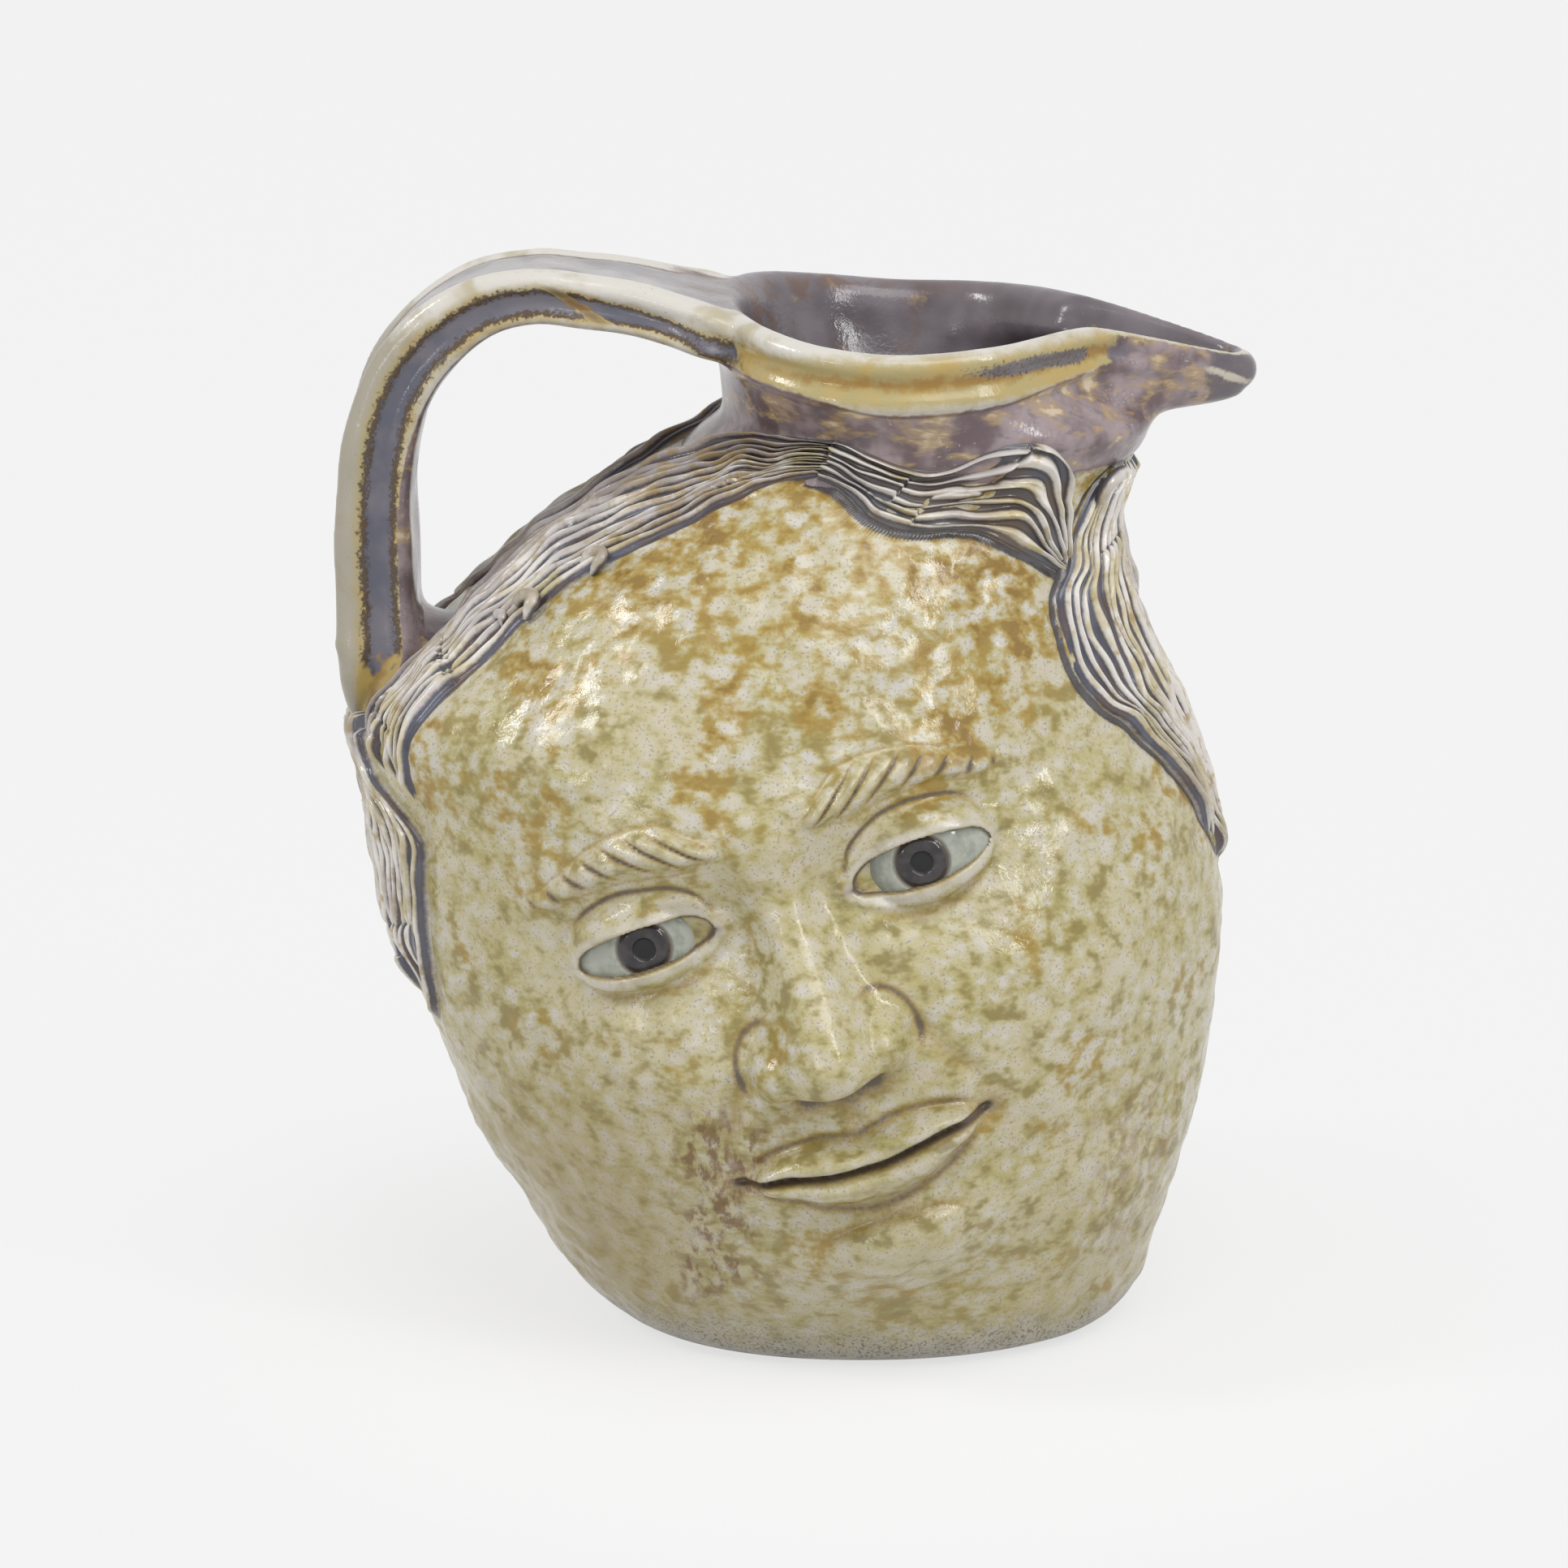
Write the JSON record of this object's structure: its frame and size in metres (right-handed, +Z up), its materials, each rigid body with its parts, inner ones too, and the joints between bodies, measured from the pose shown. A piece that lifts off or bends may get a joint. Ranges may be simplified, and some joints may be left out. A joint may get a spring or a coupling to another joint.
{
  "type": "face jug",
  "caption": "Hollow stoneware face jug with a strap handle, a pinched pouring lip, and a modelled face with combed hair on each broad side.",
  "frame": {"origin": "centre of the foot, on the surface the jug stands on", "axes": "+Z up out of the mouth, +X towards the pouring lip, -X towards the handle, -Y out of the front face and +Y out of the back face"},
  "size_m": [0.1458, 0.1408, 0.1712],
  "materials": {
    "mottled_glaze": "glossy salt glaze over stoneware, mottled ochre and olive on grey",
    "purple_glaze": "glossy purple-brown salt glaze over stoneware",
    "handle_glaze": "glossy salt glaze over stoneware, cream ridges and slate-blue channels",
    "hair_glaze": "glossy salt glaze over combed stoneware, cream ridges over slate-blue grooves",
    "eye_glaze": "glossy pale glaze with a dark pupil"
  },
  "bodies": {
    "root": {"body": "mottled_glaze", "collar": "purple_glaze", "handle": "handle_glaze", "hair_below_spout": "hair_glaze", "hair_below_handle": "hair_glaze", "hair_crown_front": "hair_glaze", "hair_fringe_front": "hair_glaze", "nose_front": "mottled_glaze", "upper_lip_front": "mottled_glaze", "lower_lip_front": "mottled_glaze", "chin_front": "mottled_glaze", "hair_crown_back": "hair_glaze", "hair_fringe_back": "hair_glaze", "nose_back": "mottled_glaze", "upper_lip_back": "mottled_glaze", "lower_lip_back": "mottled_glaze", "chin_back": "mottled_glaze", "handle_side_eyeball_front": "eye_glaze", "handle_side_upper_lid_front": "mottled_glaze", "handle_side_lower_lid_front": "mottled_glaze", "handle_side_brow_front": "mottled_glaze", "handle_side_eyeball_back": "eye_glaze", "handle_side_upper_lid_back": "mottled_glaze", "handle_side_lower_lid_back": "mottled_glaze", "handle_side_brow_back": "mottled_glaze", "spout_side_eyeball_front": "eye_glaze", "spout_side_upper_lid_front": "mottled_glaze", "spout_side_lower_lid_front": "mottled_glaze", "spout_side_brow_front": "mottled_glaze", "spout_side_eyeball_back": "eye_glaze", "spout_side_upper_lid_back": "mottled_glaze", "spout_side_lower_lid_back": "mottled_glaze", "spout_side_brow_back": "mottled_glaze"}
  },
  "joints": []
}
